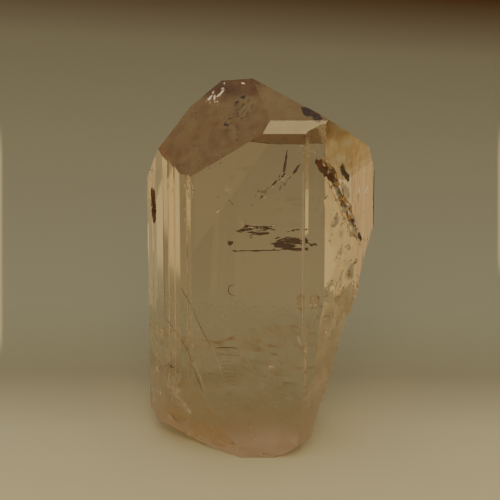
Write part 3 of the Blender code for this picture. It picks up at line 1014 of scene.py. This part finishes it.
def speck_tree():
    """Node group: small specks spread over the faces whose roughness lies between two values."""
    tree = bpy.data.node_groups.new("specks on faces", "GeometryNodeTree")
    group_input(tree, "Crystal", "NodeSocketGeometry", None)
    group_input(tree, "Least roughness", "NodeSocketFloat", 0.4)
    group_input(tree, "Most roughness", "NodeSocketFloat", 0.5)
    group_input(tree, "Density", "NodeSocketFloat", 3.0e6)
    group_input(tree, "Size", "NodeSocketFloat", 0.0001)
    group_input(tree, "Seed", "NodeSocketInt", 0)
    group_input(tree, "Finish", "NodeSocketMaterial", None)
    tree.interface.new_socket(name="Specks", in_out="OUTPUT", socket_type="NodeSocketGeometry")
    given = add(tree, "NodeGroupInput").outputs
    rough = add(tree, "GeometryNodeInputNamedAttribute", {"data_type": "FLOAT", "Name": "broken"})
    over = add(tree, "FunctionNodeCompare", {"data_type": "FLOAT", "operation": "GREATER_THAN"},
               {0: rough.outputs[0], 1: given["Least roughness"]})
    under = add(tree, "FunctionNodeCompare", {"data_type": "FLOAT", "operation": "LESS_THAN"},
                {0: rough.outputs[0], 1: given["Most roughness"]})
    between = add(tree, "FunctionNodeBooleanMath", {"operation": "AND"},
                  {0: over.outputs[0], 1: under.outputs[0]})
    spread = add(tree, "GeometryNodeDistributePointsOnFaces", {"distribute_method": "RANDOM"},
                 {"Mesh": given["Crystal"], "Selection": between.outputs[0], "Density": given["Density"],
                  "Seed": given["Seed"]})
    speck = add(tree, "GeometryNodeMeshIcoSphere", {"Radius": 0.5, "Subdivisions": 1})
    least = add(tree, "ShaderNodeMath", {"operation": "MULTIPLY", 1: SPECK_LEAST}, {0: given["Size"]})
    size = add(tree, "FunctionNodeRandomValue", {"data_type": "FLOAT"},
               {2: least.outputs[0], 3: given["Size"], "Seed": given["Seed"]})
    placed = add(tree, "GeometryNodeInstanceOnPoints", {},
                 {"Points": spread.outputs["Points"], "Instance": speck.outputs["Mesh"],
                  "Rotation": spread.outputs["Rotation"], "Scale": size.outputs[1]})
    real = add(tree, "GeometryNodeRealizeInstances", {}, {"Geometry": placed.outputs[0]})
    painted = add(tree, "GeometryNodeSetMaterial", {},
                  {"Geometry": real.outputs[0], "Material": given["Finish"]})
    add(tree, "NodeGroupOutput", {}, {"Specks": painted.outputs[0]})
    return tree


def grow(obj, tree, values):
    """Run a node group on an object with named values, and keep its result as a plain mesh."""
    modifier = obj.modifiers.new("grow", "NODES")
    modifier.node_group = tree
    for item in tree.interface.items_tree:
        if item.item_type == "SOCKET" and item.in_out == "INPUT" and item.name in values:
            modifier[item.identifier] = values[item.name]
    bpy.context.view_layer.update()
    result = bpy.data.meshes.new_from_object(obj.evaluated_get(bpy.context.evaluated_depsgraph_get()))
    obj.modifiers.clear()
    obj.data = result
    return obj


def hair_lines(name, hairs, material):
    """Fine tapering rods along curved lines, each a little inside its face."""
    curve = bpy.data.curves.new(name, "CURVE")
    curve.dimensions = "3D"
    curve.bevel_depth = HAIR_RADIUS * MM
    curve.bevel_resolution = 1
    curve.use_fill_caps = True
    curve.resolution_u = 6
    for face, places, depth, thickness in hairs:
        spline = curve.splines.new("NURBS")
        spline.points.add(len(places) - 1)
        for index, place in enumerate(places):
            end = index in (0, len(places) - 1)
            spline.points[index].co = (*(inside(face, place, depth) * MM), 1.0)
            spline.points[index].radius = thickness * (HAIR_END if end else 1.0)
        spline.order_u = min(4, len(places))
        spline.use_endpoint_u = True
    source = bpy.data.objects.new(name + " lines", curve)
    bpy.context.collection.objects.link(source)
    bpy.context.view_layer.update()
    mesh = bpy.data.meshes.new_from_object(source.evaluated_get(bpy.context.evaluated_depsgraph_get()))
    bpy.data.objects.remove(source, do_unlink=True)
    mesh.materials.clear()
    mesh.materials.append(material)
    obj = bpy.data.objects.new(name, mesh)
    bpy.context.collection.objects.link(obj)
    return obj


def ripple_hairs():
    """Curved ripples below the crack's straight edge, evenly apart, each a little narrower than the last."""
    hairs = []
    for index in range(RIPPLES):
        x = RIPPLE_TOP[0] + RIPPLE_SHIFT * index
        z = RIPPLE_TOP[1] - RIPPLE_STEP * index
        half = RIPPLE_HALF_WIDTH * (1.0 - RIPPLE_LOSS * index)
        left = [(x - half, z - RIPPLE_SAG), (x - half * RIPPLE_FLAT, z)]
        right = [(x + half * RIPPLE_FLAT, z), (x + half, z - RIPPLE_SAG)]
        hairs.append(("front", left + right, RIPPLE_DEPTH, RIPPLE_THICKNESS))
    return hairs


def hackle_hairs(seed):
    """Short curved steps that run off one side of the long crack."""
    rng = random.Random(seed)
    hairs = []
    for index in range(HACKLES):
        share = index / (HACKLES - 1)
        x = HACKLE_START[0] + (HACKLE_END[0] - HACKLE_START[0]) * share
        z = HACKLE_START[1] + (HACKLE_END[1] - HACKLE_START[1]) * share
        length = HACKLE_LENGTH * rng.uniform(HACKLE_LEAST, 1.0)
        bend = HACKLE_BEND * length
        places = [(x, z), (x - bend, z - HACKLE_DROP * length), (x - bend * HACKLE_HOOK, z - length)]
        hairs.append(("front", places, HACKLE_DEPTH, HACKLE_THICKNESS))
    return hairs


def jagged_plate(bm, spec, rng):
    """Thin plate with a jagged rim, lying in a face's direction and a little askew."""
    face, middle, length, width, turn, depth = spec
    normal, _ = face_plane(face)
    right = Vector((0.0, 0.0, 1.0)).cross(normal).normalized()
    up = normal.cross(right)
    lean = Matrix.Rotation(math.radians(rng.gauss(0.0, PLATE_TILT)), 3, right)
    lean = lean @ Matrix.Rotation(math.radians(turn), 3, normal)
    centre = inside(face, middle, depth)
    rims = ([], [])
    for index in range(PLATE_POINTS):
        angle = 2.0 * math.pi * index / PLATE_POINTS
        reach = 1.0 - PLATE_JAG * rng.random()
        flat = right * (0.5 * length * math.cos(angle) * reach) + up * (0.5 * width * math.sin(angle) * reach)
        spot = tucked(centre + lean @ flat, -PLATE_PROUD)
        for rim, side in zip(rims, (-0.5, 0.5)):
            rim.append(bm.verts.new(spot + lean @ (normal * (side * PLATE_THICKNESS))))
    bm.faces.new(rims[1])
    bm.faces.new(rims[0][::-1])
    for index in range(PLATE_POINTS):
        after = (index + 1) % PLATE_POINTS
        bm.faces.new((rims[0][index], rims[0][after], rims[1][after], rims[1][index]))


def plates(name, specs, seed, material):
    """All the plates of one kind as one mesh."""
    bpy.context.view_layer.update()
    rng = random.Random(seed)
    bm = bmesh.new()
    for spec in specs:
        jagged_plate(bm, spec, rng)
    bmesh.ops.triangulate(bm, faces=bm.faces)
    obj = finished_mesh(name, bm)
    obj.data.materials.append(material)
    return obj


def table_material(settings):
    """Board, even and matt, painted with light and shade: pale in a painted pool of light in front, darker
    in painted shade behind, and with a paler painted pool of light at either side.
    """
    material, tree = blank_material("pale board with painted light and shade")
    place = add(tree, "ShaderNodeTexCoord")
    split = add(tree, "ShaderNodeSeparateXYZ", {}, {"Vector": place.outputs["Object"]})
    # Painted light and shade: the colour runs from the lit front of the board to its shaded back
    near, far = BOARD_PAINTED_LIGHT[0][0], BOARD_PAINTED_LIGHT[-1][0]
    slant = add(tree, "ShaderNodeMath", {"operation": "MULTIPLY"},
                {0: split.outputs["X"], 1: split.outputs["Y"]})
    depth = add(tree, "ShaderNodeMath", {"operation": "MULTIPLY_ADD", 1: BOARD_SLANT},
                {0: slant.outputs[0], 2: split.outputs["Y"]})
    near_far = add(tree, "ShaderNodeMapRange", {"From Min": near * MM, "From Max": far * MM},
                   {"Value": depth.outputs[0]})
    ramp = add(tree, "ShaderNodeValToRGB", {}, {"Fac": near_far.outputs["Result"]})
    elements = ramp.color_ramp.elements
    elements[0].color = linear(BOARD_PAINTED_LIGHT[0][1])
    elements[1].color = linear(BOARD_PAINTED_LIGHT[-1][1])
    for distance, colour in BOARD_PAINTED_LIGHT[1:-1]:
        elements.new((distance - near) / (far - near)).color = linear(colour)
    # Painted pools of light on the board well to either side, mixed over its colour
    off_centre = add(tree, "ShaderNodeMath", {"operation": "SUBTRACT", 1: POOL_CENTRE * MM},
                     {0: split.outputs["X"]})
    level = add(tree, "ShaderNodeMath", {"operation": "ABSOLUTE"}, {0: off_centre.outputs[0]})
    aside = add(tree, "ShaderNodeMath", {"operation": "MULTIPLY_ADD", 1: -POOL_SPREAD},
                {0: split.outputs["Y"], 2: level.outputs[0]})
    paler = add(tree, "ShaderNodeMapRange",
                {"interpolation_type": "SMOOTHSTEP", "From Min": SIDE_POOL[0] * MM,
                 "From Max": SIDE_POOL[1] * MM},
                {"Value": aside.outputs[0]})
    ended = add(tree, "ShaderNodeMapRange",
                {"interpolation_type": "SMOOTHSTEP", "From Min": POOL_END[0] * MM,
                 "From Max": POOL_END[1] * MM, "To Min": 1.0, "To Max": 0.0},
                {"Value": split.outputs["Y"]})
    right = add(tree, "ShaderNodeMath", {"operation": "GREATER_THAN", 1: 0.0}, {0: split.outputs["X"]})
    lagging = add(tree, "ShaderNodeMath", {"operation": "MULTIPLY_ADD", 1: -RIGHT_POOL_LAG * MM},
                  {0: right.outputs[0], 2: split.outputs["Y"]})
    begun = add(tree, "ShaderNodeMapRange",
                {"interpolation_type": "SMOOTHSTEP", "From Min": POOL_START[0] * MM,
                 "From Max": POOL_START[1] * MM},
                {"Value": lagging.outputs[0]})
    stretch = add(tree, "ShaderNodeMath", {"operation": "MULTIPLY"},
                  {0: begun.outputs["Result"], 1: ended.outputs["Result"]})
    outwards = add(tree, "ShaderNodeMath", {"operation": "MULTIPLY_ADD", 1: -RIGHT_POOL_SLANT},
                   {0: split.outputs["Y"], 2: split.outputs["X"]})
    narrow = add(tree, "ShaderNodeMapRange",
                 {"interpolation_type": "SMOOTHSTEP", "From Min": RIGHT_POOL_EDGE[0] * MM,
                  "From Max": RIGHT_POOL_EDGE[1] * MM, "To Min": 1.0, "To Max": 0.0},
                 {"Value": outwards.outputs[0]})
    strip = add(tree, "ShaderNodeMath", {"operation": "MULTIPLY"},
                {0: stretch.outputs[0], 1: narrow.outputs["Result"]})
    pool = add(tree, "ShaderNodeMath", {"operation": "MULTIPLY"},
               {0: paler.outputs["Result"], 1: strip.outputs[0]})
    colour = add(tree, "ShaderNodeMix", {"data_type": "RGBA", 7: settings.painted_side_light[:] + (1.0,)},
                 {0: pool.outputs[0], 6: ramp.outputs["Color"]})
    shader = add(tree, "ShaderNodeBsdfPrincipled", {"Roughness": 0.8, "Specular IOR Level": 0.1},
                 {"Base Color": colour.outputs[2]})
    add(tree, "ShaderNodeOutputMaterial", {}, {"Surface": shader.outputs["BSDF"]})
    return material


def soft_panel(name, place, aim, size, power, colour):
    """Rectangular soft light at a place in millimetres, turned to its aim."""
    lamp = bpy.data.lights.new(name, "AREA")
    lamp.shape = "RECTANGLE"
    lamp.size = size[0] * MM
    lamp.size_y = size[1] * MM
    lamp.energy = power
    lamp.color = linear(colour)[:3]
    panel = bpy.data.objects.new(name, lamp)
    panel.location = Vector(place) * MM
    direction = (Vector(aim) - Vector(place)).normalized()
    panel.rotation_mode = "QUATERNION"
    panel.rotation_quaternion = direction.to_track_quat("-Z", "Y")
    bpy.context.collection.objects.link(panel)


def lay_table(settings):
    """Board under the crystal, wide enough for every view."""
    half = settings.table_width / 2.0
    bm = bmesh.new()
    bmesh.ops.create_grid(bm, x_segments=1, y_segments=1, size=half / MM)
    bmesh.ops.translate(bm, vec=(0.0, 0.0, -TABLE_GAP), verts=bm.verts)
    board = finished_mesh("table", bm)
    board.data.materials.append(table_material(settings))
    return board


def felt_material(settings):
    """Brown felt: even and quite matt, with its fibres drawn ten times their width so that they show."""
    material, tree = blank_material("brown wool felt")
    place = add(tree, "ShaderNodeTexCoord")
    fibres = add(tree, "ShaderNodeTexNoise", {"Scale": 1.0 / (FELT_FIBRE * MM), "Detail": 2.0},
                 {"Vector": place.outputs["Object"]})
    shade = add(tree, "ShaderNodeMapRange",
                {"From Min": NOISE_RANGE[0], "From Max": NOISE_RANGE[1],
                 "To Min": FELT_SHADES[0], "To Max": FELT_SHADES[1]},
                {"Value": fibres.outputs["Fac"]})
    tint = add(tree, "ShaderNodeVectorMath", {"operation": "SCALE", 0: settings.screen_tint[:]},
               {"Scale": shade.outputs["Result"]})
    shader = add(tree, "ShaderNodeBsdfPrincipled", {"Roughness": 0.9, "Specular IOR Level": 0.1},
                 {"Base Color": tint.outputs[0]})
    add(tree, "ShaderNodeOutputMaterial", {}, {"Surface": shader.outputs["BSDF"]})
    return material


def stand_screen(settings):
    """Half ring of felt behind the table: light that leaves the stone low and upwards comes from it."""
    bm = bmesh.new()
    sections = []
    for index in range(SCREEN_PANELS + 1):
        angle = SCREEN_ARC[0] + (SCREEN_ARC[1] - SCREEN_ARC[0]) * index / SCREEN_PANELS
        near = facing(angle) * SCREEN_RADIUS
        far = facing(angle) * (SCREEN_RADIUS + SCREEN_THICKNESS)
        top = Vector((0.0, 0.0, SCREEN_HEIGHT))
        sections.append([bm.verts.new(point) for point in (near, far, far + top, near + top)])
    for before, after in zip(sections, sections[1:]):
        for side in range(4):
            other = (side + 1) % 4
            bm.faces.new((before[side], before[other], after[other], after[side]))
    bm.faces.new(sections[0])
    bm.faces.new(sections[-1])
    bmesh.ops.recalc_face_normals(bm, faces=bm.faces)
    screen = finished_mesh("screen", bm)
    screen.data.materials.append(felt_material(settings))
    return screen


def room_light(settings):
    """Even light from all round."""
    world = bpy.data.worlds.new("soft room")
    bpy.context.scene.world = world
    world.use_nodes = True
    background = world.node_tree.nodes["Background"]
    background.inputs["Color"].default_value = settings.room_tint[:] + (1.0,)
    background.inputs["Strength"].default_value = settings.room_strength


def place_camera():
    """Camera where the picture was taken from."""
    tilt = math.radians(CAMERA_TILT)
    aim = Vector(CAMERA_AIM)
    back = Vector((0.0, -math.cos(tilt), math.sin(tilt)))
    lens = bpy.data.cameras.new("picture camera")
    lens.sensor_width = SENSOR_WIDTH
    lens.lens = SENSOR_WIDTH * CAMERA_AWAY / FRAMED_WIDTH
    lens.clip_start, lens.clip_end = CAMERA_CLIP
    camera = bpy.data.objects.new("picture camera", lens)
    camera.location = (aim + back * CAMERA_AWAY) * MM
    camera.rotation_mode = "QUATERNION"
    camera.rotation_quaternion = (-back).to_track_quat("-Z", "Y")
    bpy.context.collection.objects.link(camera)
    bpy.context.scene.camera = camera


class TopazCrystalSettings(bpy.types.PropertyGroup):
    """Sizes and colours of the crystal itself."""

    line_spacing: bpy.props.FloatProperty(
        name="Growth line spacing", description="Average distance between growth lines on a side face",
        default=0.00022, min=0.00005, unit="LENGTH", precision=6)
    line_depth: bpy.props.FloatProperty(
        name="Growth line depth", description="Deepest that a growth line goes in",
        default=0.00004, min=0.0, unit="LENGTH", precision=6)
    grain: bpy.props.FloatProperty(
        name="Break grain", description="Distance between points on a broken face",
        default=0.00016, min=0.00005, unit="LENGTH", precision=6)
    seed: bpy.props.IntProperty(name="Seed", description="Which growth lines are made", default=11)
    body_tint: bpy.props.FloatVectorProperty(
        name="Body tint", description="Colour that light keeps on a long way through the stone",
        subtype="COLOR", default=(0.82, 0.57, 0.24), min=0.0, max=1.0)
    body_depth: bpy.props.FloatProperty(
        name="Body depth", description="How quickly the tint builds up, per metre", default=62.0, min=0.0)


class TopazMarksSettings(bpy.types.PropertyGroup):
    """Sizes of the marks in and on the crystal."""

    speck_size: bpy.props.FloatProperty(
        name="Speck size", description="Largest dark speck on the pitted side", default=0.00009, min=0.0,
        unit="LENGTH", precision=6)
    speck_density: bpy.props.FloatProperty(
        name="Speck density", description="Dark specks on a square metre of the pitted side",
        default=3.5e6, min=0.0)
    seed: bpy.props.IntProperty(name="Seed", description="Where the marks fall", default=5)


class TopazTableSettings(bpy.types.PropertyGroup):
    """Sizes and colours of the table and its light."""

    table_width: bpy.props.FloatProperty(
        name="Table width", description="Width and length of the board", default=1.2, min=0.1, unit="LENGTH")
    # Painted light: the colour of the lit pools on the board either side of the crystal
    painted_side_light: bpy.props.FloatVectorProperty(
        name="Painted side light", description="Board colour well to either side of the crystal", subtype="COLOR",
        default=linear("#fff4c4")[:3], min=0.0, max=1.0)
    room_tint: bpy.props.FloatVectorProperty(
        name="Room tint", description="Colour of the light from all round", subtype="COLOR",
        default=linear("#fff9ef")[:3], min=0.0, max=1.0)
    screen_tint: bpy.props.FloatVectorProperty(
        name="Screen tint", description="Colour of the felt screen behind the table", subtype="COLOR",
        default=linear("#dfb052")[:3], min=0.0, max=1.0)
    room_strength: bpy.props.FloatProperty(
        name="Room strength", description="Brightness of the light from all round", default=0.56, min=0.0)


class TOPAZ_OT_crystal(bpy.types.Operator):
    """Make the clear crystal with its growth lines and broken faces"""

    bl_idname = "topaz.crystal"
    bl_label = "Crystal"

    def execute(self, context):
        crystal = grow_crystal(context.scene.topaz_crystal)
        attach(crystal, "root")
        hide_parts(NODE)
        return {"FINISHED"}


def keep(piece):
    """Let a finished mark move with the crystal."""
    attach(piece, "root")


class TOPAZ_OT_splinters(bpy.types.Operator):
    """Put the dark needles, and the bright flakes that paint glints, inside the crystal"""

    bl_idname = "topaz.splinters"
    bl_label = "Needles and flakes"

    def execute(self, context):
        seed = context.scene.topaz_marks.seed
        tree = splinter_tree()
        needles = mark_points("dark_needles", DARK_ROWS, seed)
        keep(grow(needles, tree, {"Width": 0.22, "Thickness": 0.12, "Seed": seed,
                                  "Finish": needle_material()}))
        flakes = mark_points("bright_flakes", BRIGHT_ROWS, seed + 1)
        keep(grow(flakes, tree, {"Width": 0.5, "Thickness": 0.08, "Tumble": 1.2, "Seed": seed,
                                 "Finish": flake_material()}))
        return {"FINISHED"}


class TOPAZ_OT_plates(bpy.types.Operator):
    """Put the larger dark plates, and the bright flaws that paint flashes of light, inside the crystal"""

    bl_idname = "topaz.plates"
    bl_label = "Plates"

    def execute(self, context):
        seed = context.scene.topaz_marks.seed
        keep(plates("dark_plates", DARK_PLATES, seed, bpy.data.materials["iron-stained needle"]))
        keep(plates("bright_plates", BRIGHT_PLATES, seed, bpy.data.materials["air film and painted glint"]))
        return {"FINISHED"}


class TOPAZ_OT_hairs(bpy.types.Operator):
    """Draw the crack edges, the hackles and the ripples, and the bright lines that paint highlights on cracks
    and edges
    """

    bl_idname = "topaz.hairs"
    bl_label = "Crack lines"

    def execute(self, context):
        dark = DARK_HAIRS + ripple_hairs()
        keep(hair_lines("dark_crack_edges", dark, bpy.data.materials["iron-stained needle"]))
        # Bright lines: painted highlights along the cracks, the hackles and two of the front's edges
        bright = BRIGHT_HAIRS + hackle_hairs(context.scene.topaz_marks.seed)
        keep(hair_lines("bright_crack_and_edge_highlights", bright, bpy.data.materials["air film and painted glint"]))
        return {"FINISHED"}


class TOPAZ_OT_specks(bpy.types.Operator):
    """Scatter dark specks over the pitted side"""

    bl_idname = "topaz.specks"
    bl_label = "Specks"

    def execute(self, context):
        settings = context.scene.topaz_marks
        specks = bpy.data.objects.new("dark_specks", bpy.data.objects["clear_crystal"].data.copy())
        context.collection.objects.link(specks)
        pitted = FACE_FINISHES["pitted"][0]
        keep(grow(specks, speck_tree(), {
            "Least roughness": pitted - FINISH_MARGIN,
            "Most roughness": pitted + FINISH_MARGIN,
            "Density": settings.speck_density,
            "Size": settings.speck_size,
            "Seed": settings.seed,
            "Finish": bpy.data.materials["iron-stained needle"],
        }))
        return {"FINISHED"}


class TOPAZ_OT_stage(bpy.types.Operator):
    """Lay the table, hang the lights and place the camera"""

    bl_idname = "topaz.stage"
    bl_label = "Table, lights and camera"

    def execute(self, context):
        settings = context.scene.topaz_table
        lay_table(settings)
        stand_screen(settings)
        room_light(settings)
        soft_panel("front panel", PANEL_PLACE, PANEL_AIM, PANEL_SIZE, PANEL_POWER, PANEL_COLOUR)
        place_camera()
        return {"FINISHED"}


class TOPAZ_PT_sidebar(bpy.types.Panel):
    """Buttons and settings in the sidebar"""

    bl_idname = "TOPAZ_PT_sidebar"
    bl_label = "Rough topaz crystal"
    bl_space_type = "VIEW_3D"
    bl_region_type = "UI"
    bl_category = "Topaz"

    def draw(self, context):
        layout = self.layout
        for name in TopazCrystalSettings.__annotations__:
            layout.prop(context.scene.topaz_crystal, name)
        layout.operator(TOPAZ_OT_crystal.bl_idname)
        for name in TopazMarksSettings.__annotations__:
            layout.prop(context.scene.topaz_marks, name)
        for operator in (TOPAZ_OT_splinters, TOPAZ_OT_plates, TOPAZ_OT_hairs, TOPAZ_OT_specks):
            layout.operator(operator.bl_idname)
        for name in TopazTableSettings.__annotations__:
            layout.prop(context.scene.topaz_table, name)
        layout.operator(TOPAZ_OT_stage.bl_idname)


CLASSES = (
    TopazCrystalSettings,
    TopazMarksSettings,
    TopazTableSettings,
    TOPAZ_OT_crystal,
    TOPAZ_OT_splinters,
    TOPAZ_OT_plates,
    TOPAZ_OT_hairs,
    TOPAZ_OT_specks,
    TOPAZ_OT_stage,
    TOPAZ_PT_sidebar,
)


def register():
    """Make the settings, operators and panel known."""
    for cls in CLASSES:
        bpy.utils.register_class(cls)
    bpy.types.Scene.topaz_crystal = bpy.props.PointerProperty(type=TopazCrystalSettings)
    bpy.types.Scene.topaz_marks = bpy.props.PointerProperty(type=TopazMarksSettings)
    bpy.types.Scene.topaz_table = bpy.props.PointerProperty(type=TopazTableSettings)


def unregister():
    """Take the settings, operators and panel away again."""
    del bpy.types.Scene.topaz_table
    del bpy.types.Scene.topaz_marks
    del bpy.types.Scene.topaz_crystal
    for cls in reversed(CLASSES):
        bpy.utils.unregister_class(cls)


def main():
    """Make everything in order."""
    register()
    bpy.ops.topaz.crystal()
    bpy.ops.topaz.splinters()
    bpy.ops.topaz.plates()
    bpy.ops.topaz.hairs()
    bpy.ops.topaz.specks()
    bpy.ops.topaz.stage()


if __name__ == "__main__":
    main()
